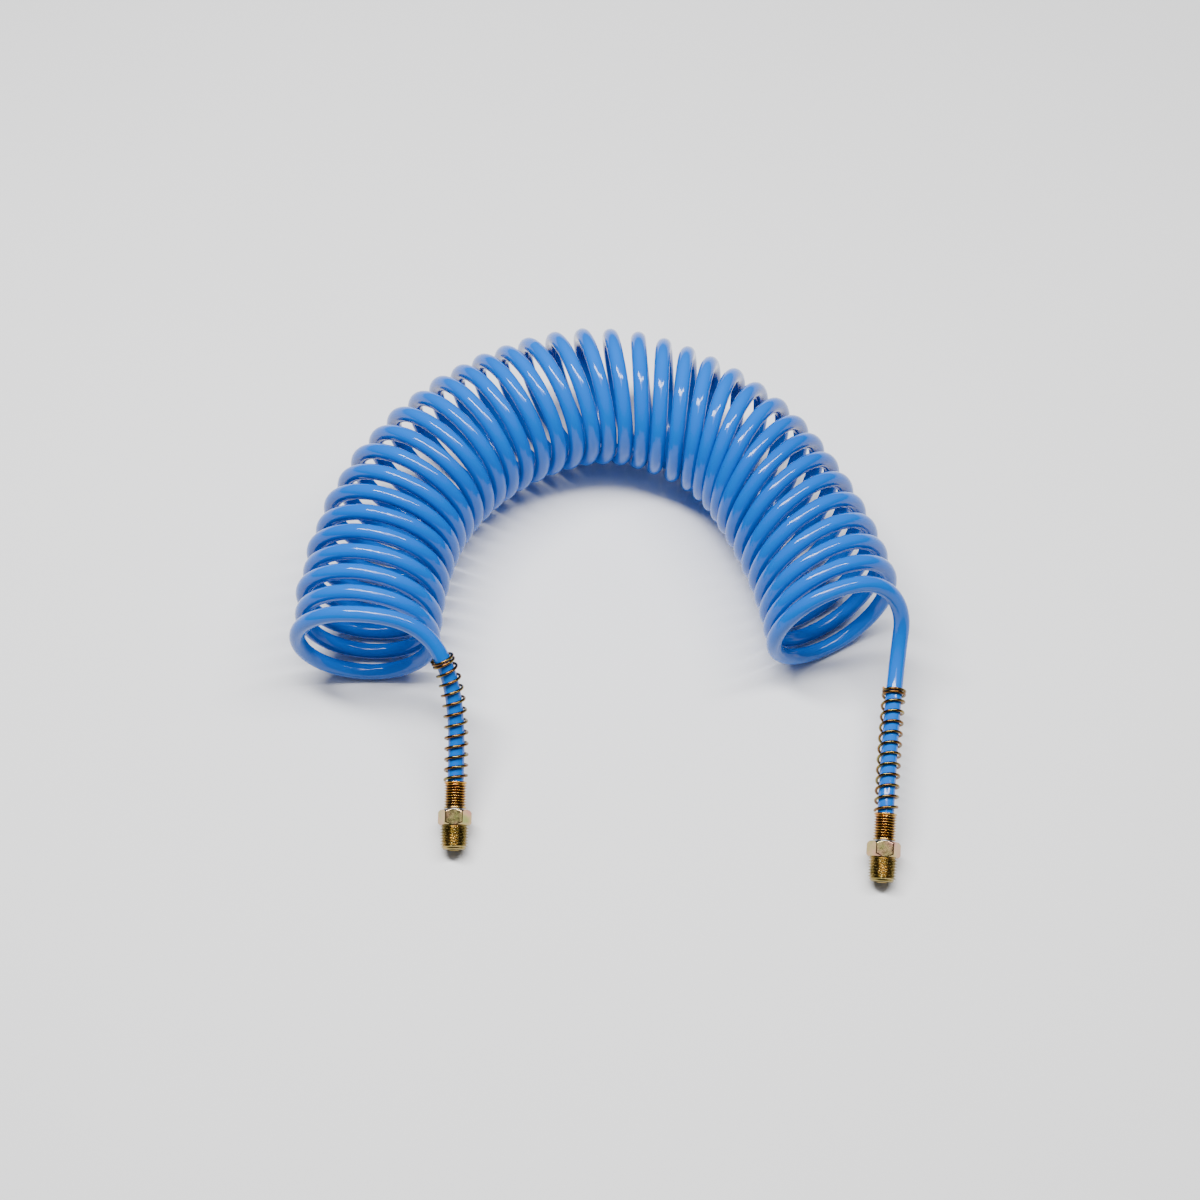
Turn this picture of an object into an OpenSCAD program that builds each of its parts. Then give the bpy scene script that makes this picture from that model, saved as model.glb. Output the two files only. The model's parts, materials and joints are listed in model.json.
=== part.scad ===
// Coiled air hose: a recoil tube with a spring guard and a swivel taper thread at each end.
// Millimetres, +Z up, lying on Z = 0 with the open side of the arch towards -Y.

/* [Hose] */
// Outside diameter of the tube
tube_od = 8; // [8:0.5:8.5]
// Bore of the tube
tube_id = 5; // [4.5:0.1:5.5]
// Outside diameter of the coil
coil_od = 73.6; // [72:0.4:74.4]

/* [Spring guard] */
// Outside diameter of the guard
guard_od = 12; // [11.6:0.1:12.4]
// Diameter of its wire
guard_wire = 1.4; // [1:0.1:1.5]
// Open turns along the guard
guard_turns = 11; // [8:1:12]
// Closed turns at the coil end of the guard
guard_closed_turns = 2; // [1:1:3]

/* [Ferrule] */
// Outside diameter over the ribs
ferrule_od = 10.8; // [10.4:0.1:11.4]
// Length of the ferrule
ferrule_len = 13; // [12.6:0.1:14]
// Crimped ribs along the ferrule
ferrule_ribs = 8; // [6:1:9]

/* [Nipple] */
// Hexagon across its flats
hex_af = 14.3; // [14:0.1:17]
// Length of the hexagon
hex_len = 7.2; // [7.2:0.1:9]
// Length of the taper thread
thread_len = 11.8; // [11.4:0.1:15]
// Diameter of the thread where it meets the hexagon
thread_od = 13.716; // [13.6:0.01:13.8]
// Bore of the nipple
nipple_bore = 6.4; // [5:0.1:7]

/* [Motion] */
// How far the left half of the coil swings out, in degrees
coil_swing = 12; // [0:1:12]

/* [Hidden] */
$fn = 64;

// Where the axis of the coil starts, and its heading there in degrees from +X
coil_start = [-115.4, -42.6];
coil_heading = 92;
// Radius and sweep of each arc of the coil's axis, turning right: leg, shoulder, crown, shoulder, leg
coil_arcs = [[228, 16.5], [127, 57], [78, 39], [113, 38], [237, 23.5]];
coil_r = coil_od / 2;
// Gap between the halves of the coil that move apart
coil_gap = 0.5;
// Control points of each tail's curve, from the coil to the mouth of its ferrule
left_route = [[-78.3, -50.1, 52.7], [-68.5, -62.2, 38.5], [-70, -83.8, 24], [-70.2, -102.1, 17.3]];
right_route = [[147.7, -29.1, 36.4], [144.7, -51.6, 10], [138.3, -93.8, 26.5], [136, -118.9, 17.3]];
// Direction of each fitting: yaw from -Y, and its slope down to the table
left_yaw = -0.7;
right_yaw = -5.2;
fitting_drop = 20;
// Share of each tail's curve that its guard starts at
left_guard_from = 0.05;
right_guard_from = 0.3;
// Pitch of the guard's closed turns, in diameters of its wire, with room for the bend
closed_pitch = 1.35;
// Rings of the tube along its curve, and sides round it
tail_rings = 18;
tube_sides = 12;
wire_sides = 6;
wire_steps = 10;

// Stations along a fitting, from the mouth of its ferrule
washer_from = ferrule_len + 0.1;
washer_t = 0.6;
hex_from = washer_from + washer_t + 0.1;
thread_from = hex_from + hex_len;
nose = thread_from + thread_len;
thread_pitch = 1.411;
thread_depth = 1.1;
thread_crest = 0.4;
taper = 1 / 32;
swivel_r = 4;
running_gap = 0.05;
swivel_end = thread_from + 0.4;
stem_bore_r = 1.6;
neck_r = 3.3;
clip_from = hex_from + 1.7;
clip_t = 0.8;
seal_at = hex_from + 5.5;
hose_depth = ferrule_len - 1.8;

function arc_end(p, h, arc) = p + arc[0] * [sin(h) - sin(h - arc[1]), cos(h - arc[1]) - cos(h)];
function heading_at(i) = i == 0 ? coil_heading : heading_at(i - 1) - coil_arcs[i - 1][1];
function point_at(i) = i == 0 ? coil_start : arc_end(point_at(i - 1), heading_at(i - 1), coil_arcs[i - 1]);

function unit(v) = v / norm(v);
function bezier(p, t) = pow(1 - t, 3) * p[0] + 3 * t * pow(1 - t, 2) * p[1]
    + 3 * t * t * (1 - t) * p[2] + pow(t, 3) * p[3];
function bezier_way(p, t) = unit(pow(1 - t, 2) * (p[1] - p[0]) + 2 * t * (1 - t) * (p[2] - p[1])
    + t * t * (p[3] - p[2]));
function side_of(way) = unit(cross(way, [0, 0, 1]));
function around(centre, way, r, a) = centre + r * (cos(a) * side_of(way) + sin(a) * cross(side_of(way), way));
function fitting_way(yaw) = [sin(yaw) * cos(fitting_drop), -cos(yaw) * cos(fitting_drop), -sin(fitting_drop)];

// Triangles of a closed skin over rings of n points each, with a flat cap at both ends
function skin_faces(rings, n) = concat(
    [[for (k = [n - 1:-1:0]) k]],
    [for (i = [0:rings - 2], k = [0:n - 1]) let (a = i * n + k, b = i * n + (k + 1) % n) each [
        [a, b, b + n],
        [a, b + n, a + n]
    ]],
    [[for (k = [0:n - 1]) (rings - 1) * n + k]]
);

// Skin of a pipe: its outer rings come first and its bore's rings after them
function pipe_faces(rings, n) = let (bore = rings * n) [
    for (i = [0:rings - 2], k = [0:n - 1]) let (a = i * n + k, b = i * n + (k + 1) % n) each [
        [a, b, b + n, a + n],
        [bore + b, bore + a, bore + a + n, bore + b + n]
    ],
    for (k = [0:n - 1]) let (a = k, b = (k + 1) % n, last = (rings - 1) * n) each [
        [b, a, bore + a, bore + b],
        [last + a, last + b, bore + last + b, bore + last + a]
    ]
];

// Rings of n points round centres, where ways run along the sweep and sides point across it
function ring_points(centres, ways, sides, r, n) = [
    for (i = [0:len(centres) - 1], k = [0:n - 1]) let (a = -360 * k / n)
        centres[i] + r * (cos(a) * sides[i] + sin(a) * cross(sides[i], ways[i]))
];

// One arc of the coil as a fat solid of its outside diameter, leaving skip degrees off its start
module coil_arc(i, skip = 0) {
    arc = coil_arcs[i];
    h = heading_at(i);
    centre = point_at(i) + arc[0] * [sin(h), -cos(h)];
    color("dodgerblue")
        translate([centre.x, centre.y, 0])
            rotate([0, 0, h - arc[1] + 90])
                rotate_extrude(angle = arc[1] - skip, $fn = 96)
                    translate([arc[0], coil_r])
                        circle(coil_r);
}

// Wedge between the left half and the crown that closes as the left half swings out
module swing_wedge() {
    h = heading_at(2);
    out = [-sin(h), cos(h)];
    back = -[cos(h), sin(h)];
    pivot = point_at(2) - coil_r * out;
    open = coil_swing + 2;
    reach = 2.6 * coil_r;
    translate([0, 0, -1])
        linear_extrude(coil_od + 2)
            polygon([
                pivot - 5 * out - back,
                pivot - 5 * out + coil_gap * back,
                pivot + coil_gap * back,
                pivot + coil_gap * back + reach * (cos(open) * out + sin(open) * back),
                pivot + reach * out - back
            ]);
}

module coil_left_leg() coil_arc(0);
module coil_left_shoulder() {
    difference() {
        coil_arc(1);
        swing_wedge();
    }
}
module coil_crown() coil_arc(2);
module coil_right_shoulder() coil_arc(3, skip = coil_gap / coil_arcs[3][0] * 180 / PI);
module coil_right_leg() coil_arc(4);

// Straight end of the hose from the coil to inside the ferrule, with its bore
module tail_tube(route, yaw) {
    way = fitting_way(yaw);
    bends = [for (i = [0:tail_rings]) i / tail_rings];
    inside = [hose_depth / 2, hose_depth];
    centres = concat([for (t = bends) bezier(route, t)], [for (d = inside) route[3] + d * way]);
    ways = concat([for (t = bends) bezier_way(route, t)], [for (d = inside) way]);
    sides = [for (w = ways) side_of(w)];
    points = concat(
        ring_points(centres, ways, sides, tube_od / 2, tube_sides),
        ring_points(centres, ways, sides, tube_id / 2, tube_sides)
    );
    color("dodgerblue")
        polyhedron(points, pipe_faces(len(centres), tube_sides), convexity = 6);
}

// Wire guard wound round a tail, with closed turns at the coil end
module spring_guard(route, from) {
    r = (guard_od - guard_wire) / 2;
    turns = guard_turns + guard_closed_turns;
    length = norm(route[3] - bezier(route, from));
    closed = guard_closed_turns * guard_wire * closed_pitch / length;
    steps = turns * wire_steps;
    end = 1 - guard_wire * 0.6 / length;
    shares = [for (i = [0:steps]) i / wire_steps < guard_closed_turns
        ? i / wire_steps / guard_closed_turns * closed
        : closed + (i / wire_steps - guard_closed_turns) / guard_turns * (1 - closed)];
    places = [for (s = shares) from + s * (end - from)];
    centres = [for (i = [0:steps])
        around(bezier(route, places[i]), bezier_way(route, places[i]), r, -360 * i / wire_steps)];
    ways = [for (i = [0:steps]) unit(centres[min(i + 1, steps)] - centres[max(i - 1, 0)])];
    sides = [for (i = [0:steps]) unit(centres[i] - bezier(route, places[i]))];
    points = ring_points(centres, ways, sides, guard_wire / 2, wire_sides);
    color("gold")
        polyhedron(points, skin_faces(steps + 1, wire_sides), convexity = 6);
}

// Ribbed sleeve crimped over the hose and the neck of the stem
module ferrule() {
    rib_pitch = (ferrule_len - 2.6) / ferrule_ribs;
    color("goldenrod")
        difference() {
            union() {
                cylinder(h = ferrule_len, d = ferrule_od - 0.8);
                cylinder(h = 0.9, d = ferrule_od + 0.3);
                for (i = [0:ferrule_ribs - 1])
                    translate([0, 0, 1.5 + i * rib_pitch])
                        cylinder(h = rib_pitch * 0.55, d = ferrule_od);
                translate([0, 0, ferrule_len - 1])
                    cylinder(h = 1, d = ferrule_od);
            }
            translate([0, 0, -1])
                cylinder(h = 1 + hose_depth + 0.2, d = tube_od + 0.02);
            cylinder(h = ferrule_len + 1, r = neck_r);
        }
}

// Stem with three barbs inside the hose, a neck for the ferrule and a swivel shaft
module barbed_stem() {
    barb_len = 3.4;
    color("darkkhaki")
        difference() {
            union() {
                translate([0, 0, 1.2])
                    cylinder(h = hose_depth, d = tube_id - 0.4);
                for (i = [0:2])
                    translate([0, 0, 1.2 + i * barb_len])
                        cylinder(h = 2.2, d1 = tube_id - 0.4, d2 = tube_id + 0.5);
                translate([0, 0, hose_depth + 0.2])
                    cylinder(h = ferrule_len - hose_depth - 0.2, r = neck_r);
                translate([0, 0, ferrule_len])
                    cylinder(h = swivel_end - ferrule_len, r = swivel_r);
            }
            cylinder(h = nose, r = stem_bore_r);
            ring_groove(clip_from - 0.1, clip_t + 0.2, swivel_r - 0.6, swivel_r + 1);
            ring_groove(seal_at - 0.6, 1.2, swivel_r - 0.9, swivel_r + 1);
        }
}

module ring_groove(from, width, inner_r, outer_r) {
    translate([0, 0, from])
        difference() {
            cylinder(h = width, r = outer_r);
            translate([0, 0, -1])
                cylinder(h = width + 2, r = inner_r);
        }
}

module thrust_washer() {
    color("silver")
        ring_groove(washer_from, washer_t, swivel_r + running_gap, 5.2);
}

// Open spring ring that sits half in the stem and half in the nipple
module retaining_ring() {
    open_angle = 34;
    color("dimgray")
        translate([0, 0, clip_from])
            rotate_extrude(angle = 360 - open_angle)
                translate([swivel_r - 0.55, 0])
                    square([1, clip_t]);
}

module o_ring() {
    section_r = 0.45;
    color("black")
        translate([0, 0, seal_at])
            rotate_extrude()
                translate([swivel_r - 0.44, 0])
                    circle(section_r, $fn = 24);
}

// Outline of the taper thread: a crest and a root for each pitch, each crest on the taper
module thread_outline() {
    count = floor((thread_len - 1) / thread_pitch);
    crest = [for (i = [0:count - 1]) thread_od / 2 - i * thread_pitch * taper];
    at = [for (i = [0:count - 1]) 0.5 + i * thread_pitch];
    flank = (thread_pitch - thread_crest) / 2;
    polygon(concat(
        [[0, -0.5], [crest[0] - thread_depth, -0.5], [crest[0] - thread_depth, 0]],
        [for (i = [0:count - 1], k = [0:2])
            k == 0 ? [crest[i], at[i]]
            : k == 1 ? [crest[i], at[i] + thread_crest]
            : [crest[i] - thread_depth, at[i] + thread_crest + flank]],
        [[crest[count - 1] - thread_depth, thread_len], [0, thread_len]]
    ));
}

// Hexagon and taper thread in one piece, bored to turn on the swivel shaft
module threaded_nipple() {
    corner_d = hex_af / cos(30);
    bevel = 0.9;
    color("khaki")
        difference() {
            union() {
                intersection() {
                    translate([0, 0, hex_from])
                        cylinder(h = hex_len, d = corner_d, $fn = 6);
                    translate([0, 0, hex_from])
                        cylinder(h = hex_len, d1 = corner_d - 2 * bevel, d2 = corner_d - 2 * bevel + 4 * hex_len);
                    translate([0, 0, hex_from])
                        cylinder(h = hex_len, d1 = corner_d - 2 * bevel + 4 * hex_len, d2 = corner_d - 2 * bevel);
                }
                translate([0, 0, thread_from])
                    rotate_extrude()
                        thread_outline();
            }
            translate([0, 0, hex_from - 1])
                cylinder(h = swivel_end + 0.4 - hex_from + 1, r = swivel_r + running_gap);
            translate([0, 0, hex_from])
                cylinder(h = nose, d = nipple_bore);
            ring_groove(clip_from - 0.2, clip_t + 0.4, swivel_r - 0.5, swivel_r + 0.65);
        }
}

// Puts a fitting, drawn along +Z, at the mouth of its ferrule
module on_tail(route, yaw) {
    translate(route[3])
        rotate([0, 0, yaw])
            rotate([90 + fitting_drop, 0, 0])
                children();
}
module on_left() on_tail(left_route, left_yaw) children();
module on_right() on_tail(right_route, right_yaw) children();

coil_left_leg();
coil_left_shoulder();
coil_crown();
coil_right_shoulder();
coil_right_leg();
tail_tube(left_route, left_yaw);  // left_tail_tube
spring_guard(left_route, left_guard_from);  // left_spring_guard
on_left() ferrule();  // left_ferrule
on_left() barbed_stem();  // left_barbed_stem
on_left() thrust_washer();  // left_thrust_washer
on_left() retaining_ring();  // left_retaining_ring
on_left() o_ring();  // left_o_ring
on_left() threaded_nipple();  // left_threaded_nipple
tail_tube(right_route, right_yaw);  // right_tail_tube
spring_guard(right_route, right_guard_from);  // right_spring_guard
on_right() ferrule();  // right_ferrule
on_right() barbed_stem();  // right_barbed_stem
on_right() thrust_washer();  // right_thrust_washer
on_right() retaining_ring();  // right_retaining_ring
on_right() o_ring();  // right_o_ring
on_right() threaded_nipple();  // right_threaded_nipple
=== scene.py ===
"""Coiled air hose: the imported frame, the real hose wound through it, and its fittings."""

import json
import math

import bmesh
import bpy
import numpy as np
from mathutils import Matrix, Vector


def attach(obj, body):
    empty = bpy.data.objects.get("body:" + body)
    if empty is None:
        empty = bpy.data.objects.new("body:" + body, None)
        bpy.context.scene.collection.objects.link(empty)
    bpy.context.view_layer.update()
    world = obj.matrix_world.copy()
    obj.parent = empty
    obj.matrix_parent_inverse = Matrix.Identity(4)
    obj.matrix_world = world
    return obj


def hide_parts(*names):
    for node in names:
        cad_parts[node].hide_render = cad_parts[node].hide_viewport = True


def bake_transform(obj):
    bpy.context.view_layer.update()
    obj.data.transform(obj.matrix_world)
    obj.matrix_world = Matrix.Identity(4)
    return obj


MM = 0.001
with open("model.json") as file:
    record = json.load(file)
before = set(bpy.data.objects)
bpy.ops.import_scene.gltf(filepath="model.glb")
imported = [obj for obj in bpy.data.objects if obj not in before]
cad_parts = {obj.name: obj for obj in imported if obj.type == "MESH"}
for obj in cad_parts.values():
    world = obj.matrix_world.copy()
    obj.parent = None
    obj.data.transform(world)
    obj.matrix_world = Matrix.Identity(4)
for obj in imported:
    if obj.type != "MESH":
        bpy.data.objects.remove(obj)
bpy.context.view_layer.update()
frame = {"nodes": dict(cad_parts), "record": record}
joints = {j["name"]: j for j in frame["record"]["behaviour"]["joints"]}

# The coil's axis, as in the CAD model: start, heading, and each arc's radius and sweep, turning right
COIL_START = (-0.1154, -0.0426)
COIL_HEADING = math.radians(92)
COIL_ARCS = [(0.228, 16.5), (0.127, 57), (0.078, 39), (0.113, 38), (0.237, 23.5)]
TUBE_R = 0.004
BORE_R = 0.0025
COIL_Z = 0.0368
COIL_R = COIL_Z - TUBE_R
TURNS = 35.5
# Yaw of the turns from square to the axis, in degrees, at shares of the coil's length
LEAN_AT = (0, 0.12, 0.35, 0.65, 1)
LEAN = (-5, 3, 3, 27, 14)
# Sideways stagger of every other turn, which dies out over so many turns
STAGGER = 0.9 * MM
STAGGER_FADE = 9
# Slow bunching of the turns along the axis: its size, its period and where it starts, in turns
BUNCHING = 0.6 * MM
BUNCHING_PERIOD = 10.3
BUNCHING_FROM = 9.6
# Control points of each tail's curve, from the coil to the mouth of its ferrule
ROUTES = {
    "left": [(-0.0783, -0.0501, 0.0527), (-0.0685, -0.0622, 0.0385), (-0.07, -0.0838, 0.024),
             (-0.0702, -0.1021, 0.0173)],
    "right": [(0.1477, -0.0291, 0.0364), (0.1447, -0.0516, 0.01), (0.1383, -0.0938, 0.0265),
              (0.136, -0.1189, 0.0173)],
}
HOSE_DEPTH = 11.2 * MM


def unit(v):
    return v / np.linalg.norm(v)


# ---------------------------------------------------------------- camera, floor and light

def make_camera(target, elevation, distance, lens):
    data = bpy.data.cameras.new("camera")
    data.lens = lens
    data.sensor_width = 36
    cam = bpy.data.objects.new("camera", data)
    bpy.context.collection.objects.link(cam)
    e = math.radians(elevation)
    cam.location = Vector(target) + distance * Vector((0, -math.cos(e), math.sin(e)))
    cam.rotation_euler = (math.radians(90 - elevation), 0, 0)
    bpy.context.scene.camera = cam


def area_light(name, location, size, energy, color=(1, 1, 1), target=(0, 0, 0.03)):
    data = bpy.data.lights.new(name, "AREA")
    data.shape = "RECTANGLE"
    data.size, data.size_y = size
    data.energy = energy
    data.color = color
    light = bpy.data.objects.new(name, data)
    bpy.context.collection.objects.link(light)
    light.location = location
    way = Vector(target) - Vector(location)
    light.rotation_euler = way.to_track_quat("-Z", "Y").to_euler()


make_camera((-0.0006, 0.0117, 0.0), 58.3, 1.1, 63.8)


# ---------------------------------------------------------------- the hose's centreline

def coil_axis(s):
    """Point and heading of the coil's axis, s metres along it."""
    p, h = np.array(COIL_START), COIL_HEADING
    for i, (r, sweep) in enumerate(COIL_ARCS):
        turn = math.radians(sweep)
        if s <= r * turn or i == len(COIL_ARCS) - 1:
            turn = s / r
        end = h - turn
        p = p + r * np.array([math.sin(h) - math.sin(end), math.cos(end) - math.cos(h)])
        s -= r * turn
        h = end
        if s <= 1e-9:
            break
    return p, h


COIL_LEN = sum(r * math.radians(a) for r, a in COIL_ARCS)


def coil_point(turn):
    """Centre of the hose, turn by turn, with the small unevenness of a wound tube."""
    share = turn / TURNS
    (x, y), h = coil_axis(share * COIL_LEN)
    angle = 2 * math.pi * turn
    lean = math.radians(np.interp(share, LEAN_AT, LEAN))
    stagger = STAGGER * math.sin(math.pi * turn) * math.exp(-turn / STAGGER_FADE)
    side = COIL_R * math.cos(angle)
    bunching = BUNCHING * math.sin(2 * math.pi * (turn - BUNCHING_FROM) / BUNCHING_PERIOD)
    along = side * math.sin(lean) + bunching
    side = side * math.cos(lean) - stagger
    return np.array([
        x + side * math.sin(h) + along * math.cos(h),
        y - side * math.cos(h) + along * math.sin(h),
        COIL_Z + COIL_R * math.sin(angle),
    ])


def bezier(p, t):
    p = [np.array(q) for q in p]
    return (1 - t) ** 3 * p[0] + 3 * t * (1 - t) ** 2 * p[1] + 3 * t * t * (1 - t) * p[2] + t ** 3 * p[3]


def bezier_way(p, t):
    p = [np.array(q) for q in p]
    return unit((1 - t) ** 2 * (p[1] - p[0]) + 2 * t * (1 - t) * (p[2] - p[1]) + t * t * (p[3] - p[2]))


def tail_points(side):
    """Centreline of one tail from the coil to inside its ferrule."""
    route = ROUTES[side]
    way = bezier_way(route, 1)
    n = 22 if side == "left" else 36
    pts = [bezier(route, i / n) for i in range(n + 1)]
    return pts + [pts[-1] + way * HOSE_DEPTH * k / 4 for k in range(1, 5)]


POINTS_PER_TURN = 48
TUBE_SIDES = 24
# Turns wound before each tail's curve leaves the coil, and its reach at the coil and at the tail
LEAVES = {"left": (0.27, 0.0161, 0.0186), "right": (0.22, 0.0183, 0.0159)}
JOIN_STEPS = 16
CROWN_FROM = sum(r * math.radians(a) for r, a in COIL_ARCS[:2])


def join_points(side):
    """Curve from the winding to the start of a tail, without either end."""
    turns, coil_reach, tail_reach = LEAVES[side]
    leave, back = (turns, 0.01) if side == "left" else (TURNS - turns, -0.01)
    start = coil_point(leave)
    out = unit(start - coil_point(leave + back))
    end, way = np.array(ROUTES[side][0]), bezier_way(ROUTES[side], 0)
    curve = [start, start + coil_reach * out, end - tail_reach * way, end]
    return [bezier(curve, i / JOIN_STEPS) for i in range(1, JOIN_STEPS)]


def whole_hose():
    """Centreline from the left ferrule to the right one, and the indices where its pieces join."""
    left, right = tail_points("left"), tail_points("right")
    first, last = LEAVES["left"][0], TURNS - LEAVES["right"][0]
    turns = np.linspace(first, last, int((last - first) * POINTS_PER_TURN))
    coil = [coil_point(t) for t in turns]
    join_l, join_r = join_points("left")[::-1], join_points("right")
    pts = left[::-1] + join_l + coil + join_r + right
    crown_turn = CROWN_FROM / COIL_LEN * TURNS
    cut_crown = len(left) + len(join_l) + int(np.argmin(abs(turns - crown_turn)))
    return np.array(pts), (0, len(left) - 1, cut_crown, len(pts) - len(right), len(pts) - 1)


# ---------------------------------------------------------------- mesh helpers

def new_object(name, verts, faces, sharp=None):
    mesh = bpy.data.meshes.new(name)
    mesh.from_pydata([tuple(v) for v in verts], [], faces)
    mesh.validate()
    bm = bmesh.new()
    bm.from_mesh(mesh)
    bmesh.ops.recalc_face_normals(bm, faces=bm.faces)
    bm.to_mesh(mesh)
    bm.free()
    mesh.shade_smooth()
    if sharp:
        mesh.set_sharp_from_angle(angle=math.radians(sharp))
    obj = bpy.data.objects.new(name, mesh)
    bpy.context.collection.objects.link(obj)
    return obj


def transported(pts):
    """A direction across the line at each point, carried along it without twisting."""
    ways = np.gradient(pts, axis=0)
    ways /= np.linalg.norm(ways, axis=1)[:, None]
    across = [unit(np.cross(ways[0], (0.1, 0.2, 1.0)))]
    for w in ways[1:]:
        across.append(unit(across[-1] - (across[-1] @ w) * w))
    across = np.array(across)
    return ways, across, np.cross(ways, across)


def swept(name, pts, across, over, radius, sides, bore=0.0, sharp=40):
    """A round rod along pts, or a pipe where bore is its inner radius."""
    a = np.linspace(0, 2 * math.pi, sides, endpoint=False)
    radius = np.broadcast_to(radius, len(pts))
    rings = (pts[:, None] + radius[:, None, None] * (np.cos(a)[None, :, None] * across[:, None]
                                                   + np.sin(a)[None, :, None] * over[:, None]))
    n = len(pts)
    verts = list(rings.reshape(-1, 3))
    faces = [(i * sides + k, i * sides + (k + 1) % sides, (i + 1) * sides + (k + 1) % sides,
              (i + 1) * sides + k) for i in range(n - 1) for k in range(sides)]
    if bore:
        inner = (pts[:, None] + bore * (np.cos(a)[None, :, None] * across[:, None]
                                        + np.sin(a)[None, :, None] * over[:, None]))
        base = len(verts)
        verts += list(inner.reshape(-1, 3))
        faces += [(base + i * sides + (k + 1) % sides, base + i * sides + k,
                   base + (i + 1) * sides + k, base + (i + 1) * sides + (k + 1) % sides)
                  for i in range(n - 1) for k in range(sides)]
        for ring in (0, n - 1):
            faces += [(ring * sides + k, ring * sides + (k + 1) % sides,
                       base + ring * sides + (k + 1) % sides, base + ring * sides + k)
                      for k in range(sides)]
    else:
        faces += [tuple(range(sides))[::-1], tuple(range((n - 1) * sides, n * sides))]
    return new_object(name, verts, faces, sharp)


def turned(name, joint, stations, steps, sharp=32):
    """A closed ring-shaped solid about a fitting's axis. Each station is (z, radius), both in mm,
    where radius is a number or a function of the angle and z is a number or a function of it."""
    origin = np.array(joint["pos_m"])
    ez = unit(np.array(joint["axis"]))
    ex = unit(np.cross((0, 0, 1), -ez))
    ex = ex if ex[0] > 0 else -ex
    ey = np.cross(ez, ex)
    verts = []
    for z, r in stations:
        for k in range(steps):
            a = 2 * math.pi * k / steps
            rr = r(a) if callable(r) else r
            zz = z(a) if callable(z) else z
            verts.append(origin + MM * (rr * math.cos(a) * ex + rr * math.sin(a) * ey + zz * ez))
    n = len(stations)
    faces = [(i * steps + k, i * steps + (k + 1) % steps, (i + 1) % n * steps + (k + 1) % steps,
              (i + 1) % n * steps + k) for i in range(n) for k in range(steps)]
    return new_object(name, verts, faces, sharp)


# ---------------------------------------------------------------- materials

class Nodes:
    """A material and a short way to add nodes to it."""

    def __init__(self, name):
        self.material = bpy.data.materials.new(name)
        self.material.use_nodes = True
        self.tree = self.material.node_tree
        self.shader = self.tree.nodes["Principled BSDF"]

    def add(self, kind, inputs=(), **settings):
        node = self.tree.nodes.new(kind)
        for key, value in settings.items():
            setattr(node, key, value)
        for socket, value in dict(inputs).items():
            if isinstance(value, bpy.types.NodeSocket):
                self.tree.links.new(value, node.inputs[socket])
            else:
                node.inputs[socket].default_value = value
        return node

    def ramp(self, fac, stops):
        node = self.add("ShaderNodeValToRGB", {"Fac": fac})
        ramp = node.color_ramp
        while len(ramp.elements) < len(stops):
            ramp.elements.new(0.5)
        for element, (at, color) in zip(ramp.elements, stops):
            element.position = at
            element.color = (*color, 1)
        return node.outputs["Color"]

    def object_coordinates(self):
        return self.add("ShaderNodeTexCoord").outputs["Object"]

    def noise(self, scale, detail=3.0, roughness=0.5):
        return self.add("ShaderNodeTexNoise", {
            "Vector": self.object_coordinates(), "Scale": scale, "Detail": detail,
            "Roughness": roughness}).outputs["Fac"]

    def to_range(self, value, low, high):
        return self.add("ShaderNodeMapRange", {
            "Value": value, "From Min": 0.3, "From Max": 0.7,
            "To Min": low, "To Max": high}).outputs["Result"]

    def bump(self, height, distance, strength):
        return self.add("ShaderNodeBump", {
            "Height": height, "Distance": distance, "Strength": strength}).outputs["Normal"]

    def link(self, value, socket):
        self.tree.links.new(value, self.shader.inputs[socket])

    def set(self, **values):
        for key, value in values.items():
            self.shader.inputs[key.replace("_", " ")].default_value = value


def hose_material():
    m = Nodes("hose_polyurethane")
    m.link(m.ramp(m.noise(14, 2), [(0.3, (0.0, 0.108, 0.52)), (0.7, (0.0, 0.135, 0.60))]), "Base Color")
    m.link(m.to_range(m.noise(220, 4), 0.05, 0.11), "Roughness")
    m.link(m.bump(m.noise(900, 2), 0.00003, 0.4), "Normal")
    m.set(IOR=1.48, Specular_IOR_Level=0.4)
    return m.material


def zinc_material(name, stops, rough=(0.14, 0.24), scale=90):
    """Yellow-passivated zinc: its colour drifts along the stops over a finely worked surface."""
    m = Nodes(name)
    m.link(m.ramp(m.noise(scale, 3, 0.55), stops), "Base Color")
    m.link(m.to_range(m.noise(700, 4), *rough), "Roughness")
    m.link(m.bump(m.noise(1100, 2), 0.00001, 0.15), "Normal")
    m.set(Metallic=1.0)
    return m.material


def plain_metal(name, dark, light, rough):
    m = Nodes(name)
    m.link(m.ramp(m.noise(300, 3), [(0.35, dark), (0.65, light)]), "Base Color")
    m.link(m.to_range(m.noise(900, 3), *rough), "Roughness")
    m.link(m.bump(m.noise(2000, 2), 0.00002, 0.5), "Normal")
    m.set(Metallic=1.0)
    return m.material


def rubber_material():
    m = Nodes("nitrile_rubber")
    stops = [(0.3, (0.008, 0.008, 0.009)), (0.7, (0.016, 0.016, 0.017))]
    m.link(m.ramp(m.noise(400, 3), stops), "Base Color")
    m.link(m.to_range(m.noise(800, 3), 0.45, 0.6), "Roughness")
    m.link(m.bump(m.noise(2500, 2), 0.00002, 0.5), "Normal")
    return m.material


def floor_material():
    m = Nodes("studio_floor")
    m.link(m.ramp(m.noise(6, 2), [(0.3, (0.86, 0.86, 0.865)), (0.7, (0.875, 0.875, 0.88))]), "Base Color")
    m.set(Roughness=0.6)
    return m.material


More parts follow.
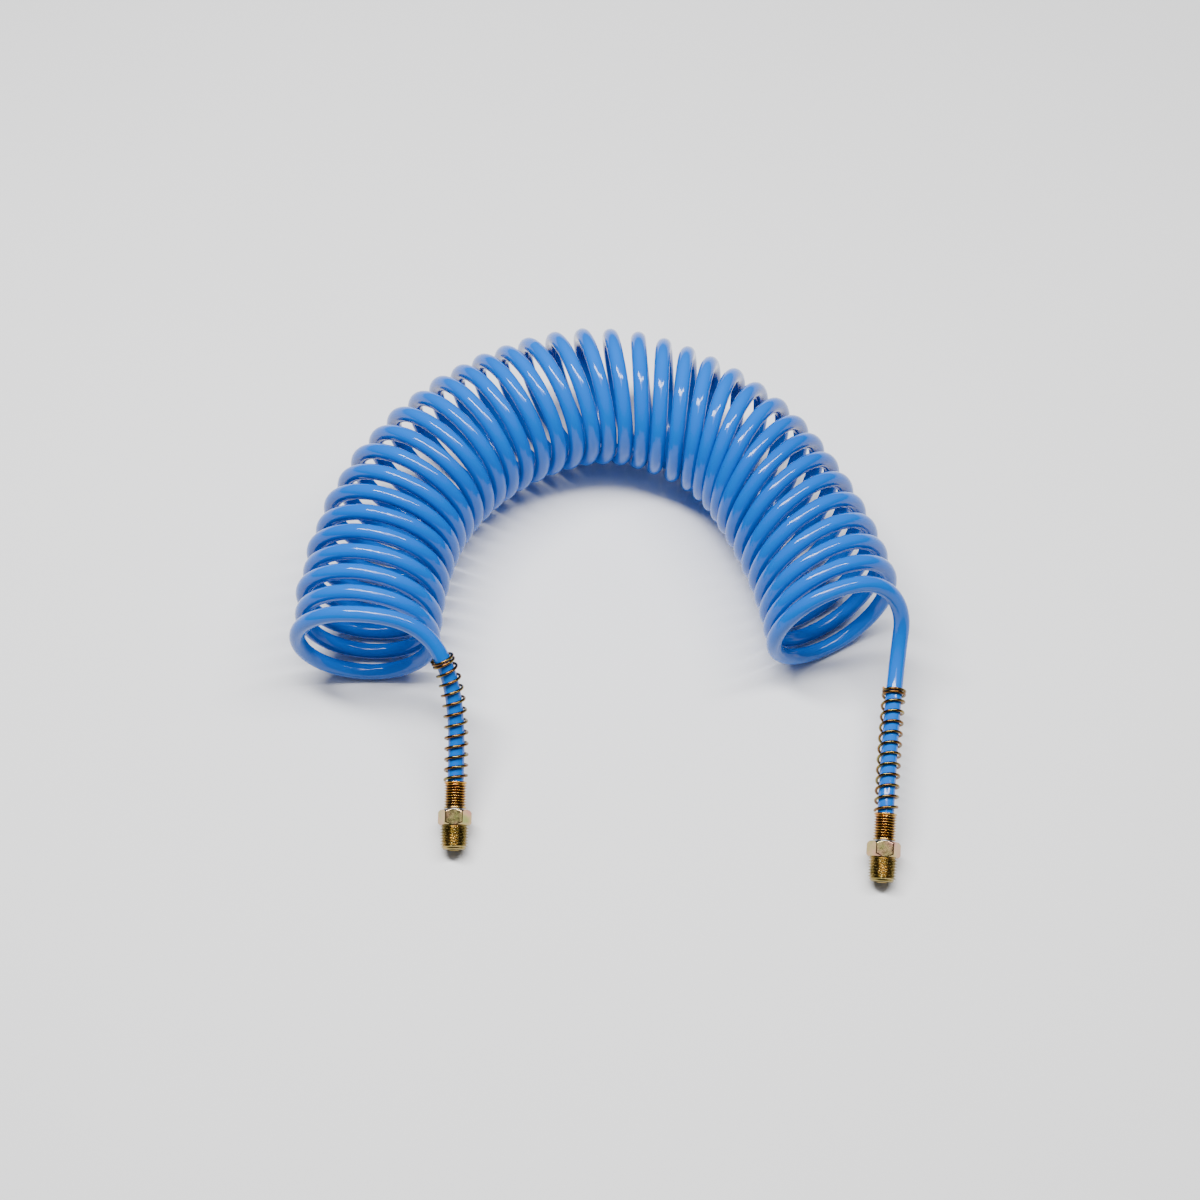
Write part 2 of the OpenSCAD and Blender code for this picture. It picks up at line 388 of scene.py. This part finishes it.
GOLD = (0.62, 0.34, 0.06)
CREAM = (0.50, 0.34, 0.17)
PINK = (0.50, 0.25, 0.18)
GREEN = (0.28, 0.30, 0.09)
BRASS = (0.46, 0.32, 0.12)
COPPER = (0.42, 0.18, 0.05)
OLIVE = (0.20, 0.16, 0.05)
BROWN = (0.16, 0.06, 0.015)
MATERIALS = {
    "hose": hose_material(),
    # The wire's gold stop is painted glints: gold highlight spots laid into its olive and brown zinc colour
    "guard": zinc_material(
        "zinc_wire_painted_glints", [(0.36, OLIVE), (0.5, BROWN), (0.64, OLIVE), (0.75, GOLD)], scale=160),
    "ferrule": zinc_material("zinc_ferrule", [(0.35, COPPER), (0.52, GOLD), (0.68, BRASS)]),
    # Painted shade: a darker zinc for the faces down in the ferrule's grooves
    "groove_painted_shade": zinc_material("zinc_groove_painted_shade", [(0.35, (0.05, 0.015, 0.004)), (0.65, (0.09, 0.04, 0.01))]),
    "nipple": zinc_material("zinc_hexagon", [(0.36, PINK), (0.5, CREAM), (0.66, GREEN)], scale=120),
    "thread": zinc_material("zinc_thread", [(0.34, BRASS), (0.52, OLIVE), (0.68, BRASS)]),
    "stem": zinc_material("zinc_stem", [(0.35, OLIVE), (0.65, GOLD)]),
    "washer": plain_metal("plain_steel", (0.42, 0.42, 0.42), (0.62, 0.62, 0.61), (0.25, 0.4)),
    "ring": plain_metal("spring_steel", (0.16, 0.16, 0.17), (0.28, 0.28, 0.29), (0.3, 0.45)),
    "seal": rubber_material(),
}


def wear(obj, material):
    obj.data.materials.clear()
    obj.data.materials.append(material)


# ---------------------------------------------------------------- hose

def make_hose():
    pts, cuts = whole_hose()
    ways, across, over = transported(pts)
    names = ("left_tail_hose", "left_coil_hose", "right_coil_hose", "right_tail_hose")
    pieces = {}
    for name, a, b in zip(names, cuts, cuts[1:]):
        part = slice(a, b + 1)
        obj = swept(name, pts[part], across[part], over[part], TUBE_R, TUBE_SIDES, bore=BORE_R)
        wear(obj, MATERIALS["hose"])
        pieces[name] = (obj, pts[part])
    return pieces


hose = make_hose()

# ---------------------------------------------------------------- fittings

GUARD_R = 5.3 * MM
WIRE_R = 0.7 * MM
GUARD_TURNS = 11
CLOSED_TURNS = 2
GUARD_FROM = {"left": 0.05, "right": 0.3}
CLOSED_PITCH = 1.2    # pitch of the closed turns, in diameters of the wire


def make_guard(side):
    """The wire guard: closed turns at the coil end, then open turns up to the ferrule."""
    route = ROUTES[side]
    start = GUARD_FROM[side]
    length = np.linalg.norm(np.array(route[3]) - bezier(route, start))
    closed = CLOSED_TURNS * 2 * WIRE_R * CLOSED_PITCH / length
    end = 1 - WIRE_R * 1.2 / length
    steps = 40
    pts = []
    for i in range((GUARD_TURNS + CLOSED_TURNS) * steps + 1):
        turn = i / steps
        if turn < CLOSED_TURNS:
            share = turn / CLOSED_TURNS * closed
        else:
            share = closed + (turn - CLOSED_TURNS) / GUARD_TURNS * (1 - closed)
        t = start + share * (end - start)
        way = bezier_way(route, t)
        across = unit(np.cross(way, (0, 0, 1)))
        a = -2 * math.pi * turn
        pts.append(bezier(route, t) + GUARD_R * (math.cos(a) * across + math.sin(a) * np.cross(across, way)))
    pts = np.array(pts)
    _, across, over = transported(pts)
    obj = swept(f"{side}_guard_wire", pts, across, over, WIRE_R, 14)
    wear(obj, MATERIALS["guard"])
    return obj


# Stations along a fitting in mm, from the mouth of its ferrule
FERRULE_LEN = 13.0
HEX_FROM = 13.8
HEX_LEN = 7.2
THREAD_FROM = HEX_FROM + HEX_LEN
THREAD_LEN = 11.8
NIPPLE_STEPS = 144
FERRULE_STEPS = 72


def make_ferrule(side):
    """Crimped sleeve: rounded ribs pressed into it, a rolled mouth and a bore for the hose."""
    r_root, r_rib, ribs = 4.6, 5.4, 8
    end, depth = FERRULE_LEN, HOSE_DEPTH / MM
    pitch = (end - 2.6) / ribs
    painted_shade_stations = []
    outer = [(0.0, 4.6), (0.05, 5.25), (0.2, 5.45), (0.5, 5.52), (0.8, 5.45), (1.0, 5.2),
             (1.2, r_root)]
    for i in range(ribs):
        base = 1.4 + i * pitch
        for k in range(9):
            f = k / 8
            bulge = max(0.0, math.sin(math.pi * f)) ** 0.7
            outer.append((base + f * pitch * 0.62, r_root + (r_rib - r_root) * bulge))
        # Stations of the faces down in each groove, which get the painted shade
        painted_shade_stations += [len(outer) - 2, len(outer) - 1, len(outer)]
    outer += [(end - 1.1, r_root), (end - 1.0, 5.1), (end - 0.8, 5.36), (end - 0.45, 5.4),
              (end - 0.12, 5.3), (end, 5.1)]
    neck_r, bore_r = 3.3, 4.03
    inner = [(end, neck_r), (depth + 0.2, neck_r), (depth + 0.1, bore_r), (0.3, bore_r)]
    obj = turned(f"{side}_crimped_ferrule", joints[f"{side}_swivel"], outer + inner, FERRULE_STEPS, sharp=50)
    wear(obj, MATERIALS["ferrule"])
    obj.data.materials.append(MATERIALS["groove_painted_shade"])
    # Painted shade: the groove faces wear the darker groove material
    for station in painted_shade_stations:
        for face in obj.data.polygons[station * FERRULE_STEPS:(station + 1) * FERRULE_STEPS]:
            face.material_index = 1
    return obj


def hexagon(af, corner):
    """Radius of a hexagon by angle, with its corners turned down to corner."""
    def radius(a):
        return min(af / 2 / math.cos(a % (math.pi / 3) - math.pi / 6), corner)
    return radius


def make_nipple(side):
    """Hexagon with turned chamfers and a helical taper thread, bored for the swivel shaft."""
    af = 14.3
    corner = af / 2 / math.cos(math.pi / 6)
    body = hexagon(af, corner - 0.12)
    rim, bevel, bevel_len = 0.12, 0.95, 1.7
    start, stop = HEX_FROM + rim, THREAD_FROM - rim

    def capped(limit):
        return lambda a: min(body(a), limit)

    def edge(a):
        return min(body(a), corner - bevel) - 0.1

    rounding = [(bevel_len * k / 8, capped(corner - bevel * (1 - k / 8) ** 2)) for k in range(9)]
    stations = [(HEX_FROM, edge)] + [(start + z, r) for z, r in rounding]
    for k in range(1, 6):
        stations.append((start + bevel_len + (stop - start - 2 * bevel_len) * k / 6, body))
    stations += [(stop - z, r) for z, r in rounding[::-1]] + [(THREAD_FROM, edge)]

    # Everything from here on, the bore as well, wears the thread's material
    thread_face = len(stations) * NIPPLE_STEPS
    pitch, depth, big = 1.411, 0.9, 6.858
    neck = big - depth
    stations.append((THREAD_FROM + 0.02, neck + 0.15))
    rows = 16
    count = int(THREAD_LEN / pitch * rows)
    for k in range(count + 1):
        z = 0.1 + (THREAD_LEN - 0.95) * k / count
        fade = min(1.0, z / 0.8) * min(1.0, max(0.0, (THREAD_LEN - 0.7 - z) / 1.2))

        def ridge(a, z=z, fade=fade):
            phase = (z / pitch - a / (2 * math.pi)) % 1.0
            tri = abs(phase * 2 - 1)
            height = min(max((tri - 0.10) / 0.80, 0), 1)
            return big - z / 32 - depth + depth * height * fade
        stations.append((THREAD_FROM + z, ridge))
    nose_r = big - THREAD_LEN / 32 - depth
    end = THREAD_FROM + THREAD_LEN
    stations += [(end - 0.6, nose_r - 0.08), (end - 0.3, nose_r - 0.32),
                 (end - 0.1, nose_r - 0.62), (end, nose_r - 1.0)]
    bottom, bore_r, swivel_r = THREAD_FROM + 0.8, 3.2, 4.05
    stations += [(end, bore_r + 0.3), (end - 0.3, bore_r), (bottom, bore_r), (bottom, swivel_r)]
    # Groove for the retaining ring, as in the CAD model
    groove_from, groove_to, groove_r = HEX_FROM + 1.5, HEX_FROM + 2.7, 4.65
    stations += [(groove_to, swivel_r), (groove_to, groove_r),
                 (groove_from, groove_r), (groove_from, swivel_r)]
    stations += [(HEX_FROM + 0.25, swivel_r), (HEX_FROM, swivel_r + 0.25)]
    obj = turned(f"{side}_hex_nipple", joints[f"{side}_swivel"], stations, NIPPLE_STEPS, sharp=28)
    wear(obj, MATERIALS["nipple"])
    obj.data.materials.append(MATERIALS["thread"])
    for face in obj.data.polygons[thread_face:]:
        face.material_index = 1
    return obj


SMALL_PARTS = {"barbed_stem": "stem", "thrust_washer": "washer", "retaining_ring": "ring", "o_ring": "seal"}

for side in ("left", "right"):
    guard, ferrule, nipple = make_guard(side), make_ferrule(side), make_nipple(side)
    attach(guard, f"{side}_tail")
    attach(ferrule, f"{side}_tail")
    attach(nipple, f"{side}_nipple")
    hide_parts(f"{side}_spring_guard")
    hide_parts(f"{side}_ferrule")
    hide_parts(f"{side}_threaded_nipple")
    for part, material in SMALL_PARTS.items():
        wear(frame["nodes"][f"{side}_{part}"], MATERIALS[material])
    tail, pts = hose[f"{side}_tail_hose"]
    if side == "left":
        pts = pts[::-1]
    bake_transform(tail)
    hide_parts(f"{side}_tail_tube")


def coil_span(at, look, back, ahead):
    """Two points either side of the coil's axis at one place, along its heading at another."""
    (x, y), _ = coil_axis(at)
    _, h = coil_axis(look)
    place, way = np.array([x, y, COIL_Z]), np.array([math.cos(h), math.sin(h), 0])
    return tuple(place - back * way), tuple(place + ahead * way)


# Spans of the coil's axis: one for the left half, over the turns next to the crown, and one for the right
# half, across the crown
CROWN_TO = CROWN_FROM + COIL_ARCS[2][0] * math.radians(COIL_ARCS[2][1])
LEFT_BEND = coil_span(CROWN_FROM, CROWN_FROM - 0.035, 0.080, 0.0)[::-1]
RIGHT_STRETCH = coil_span(CROWN_TO, CROWN_TO, 0.055, 0.056)
left_coil, left_pts = hose["left_coil_hose"]
right_coil, right_pts = hose["right_coil_hose"]
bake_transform(left_coil)
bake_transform(right_coil)
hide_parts("coil_left_leg", "coil_left_shoulder")
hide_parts("coil_crown", "coil_right_shoulder", "coil_right_leg")

# ---------------------------------------------------------------- studio

bpy.ops.mesh.primitive_plane_add(size=8, location=(0, 0, 0))
floor = bpy.context.object
floor.name = "studio_floor"
wear(floor, floor_material())

area_light("key", (-0.35, 0.15, 1.3), (0.22, 0.9), 26)
area_light("fill", (0.45, 0.1, 1.3), (0.14, 0.9), 14)
area_light("panel", (0.1, -0.1, 1.6), (0.7, 0.7), 6)
world = bpy.data.worlds.new("studio")
bpy.context.scene.world = world
world.use_nodes = True
world.node_tree.nodes["Background"].inputs["Color"].default_value = (1, 1, 1, 1)
world.node_tree.nodes["Background"].inputs["Strength"].default_value = 0.12
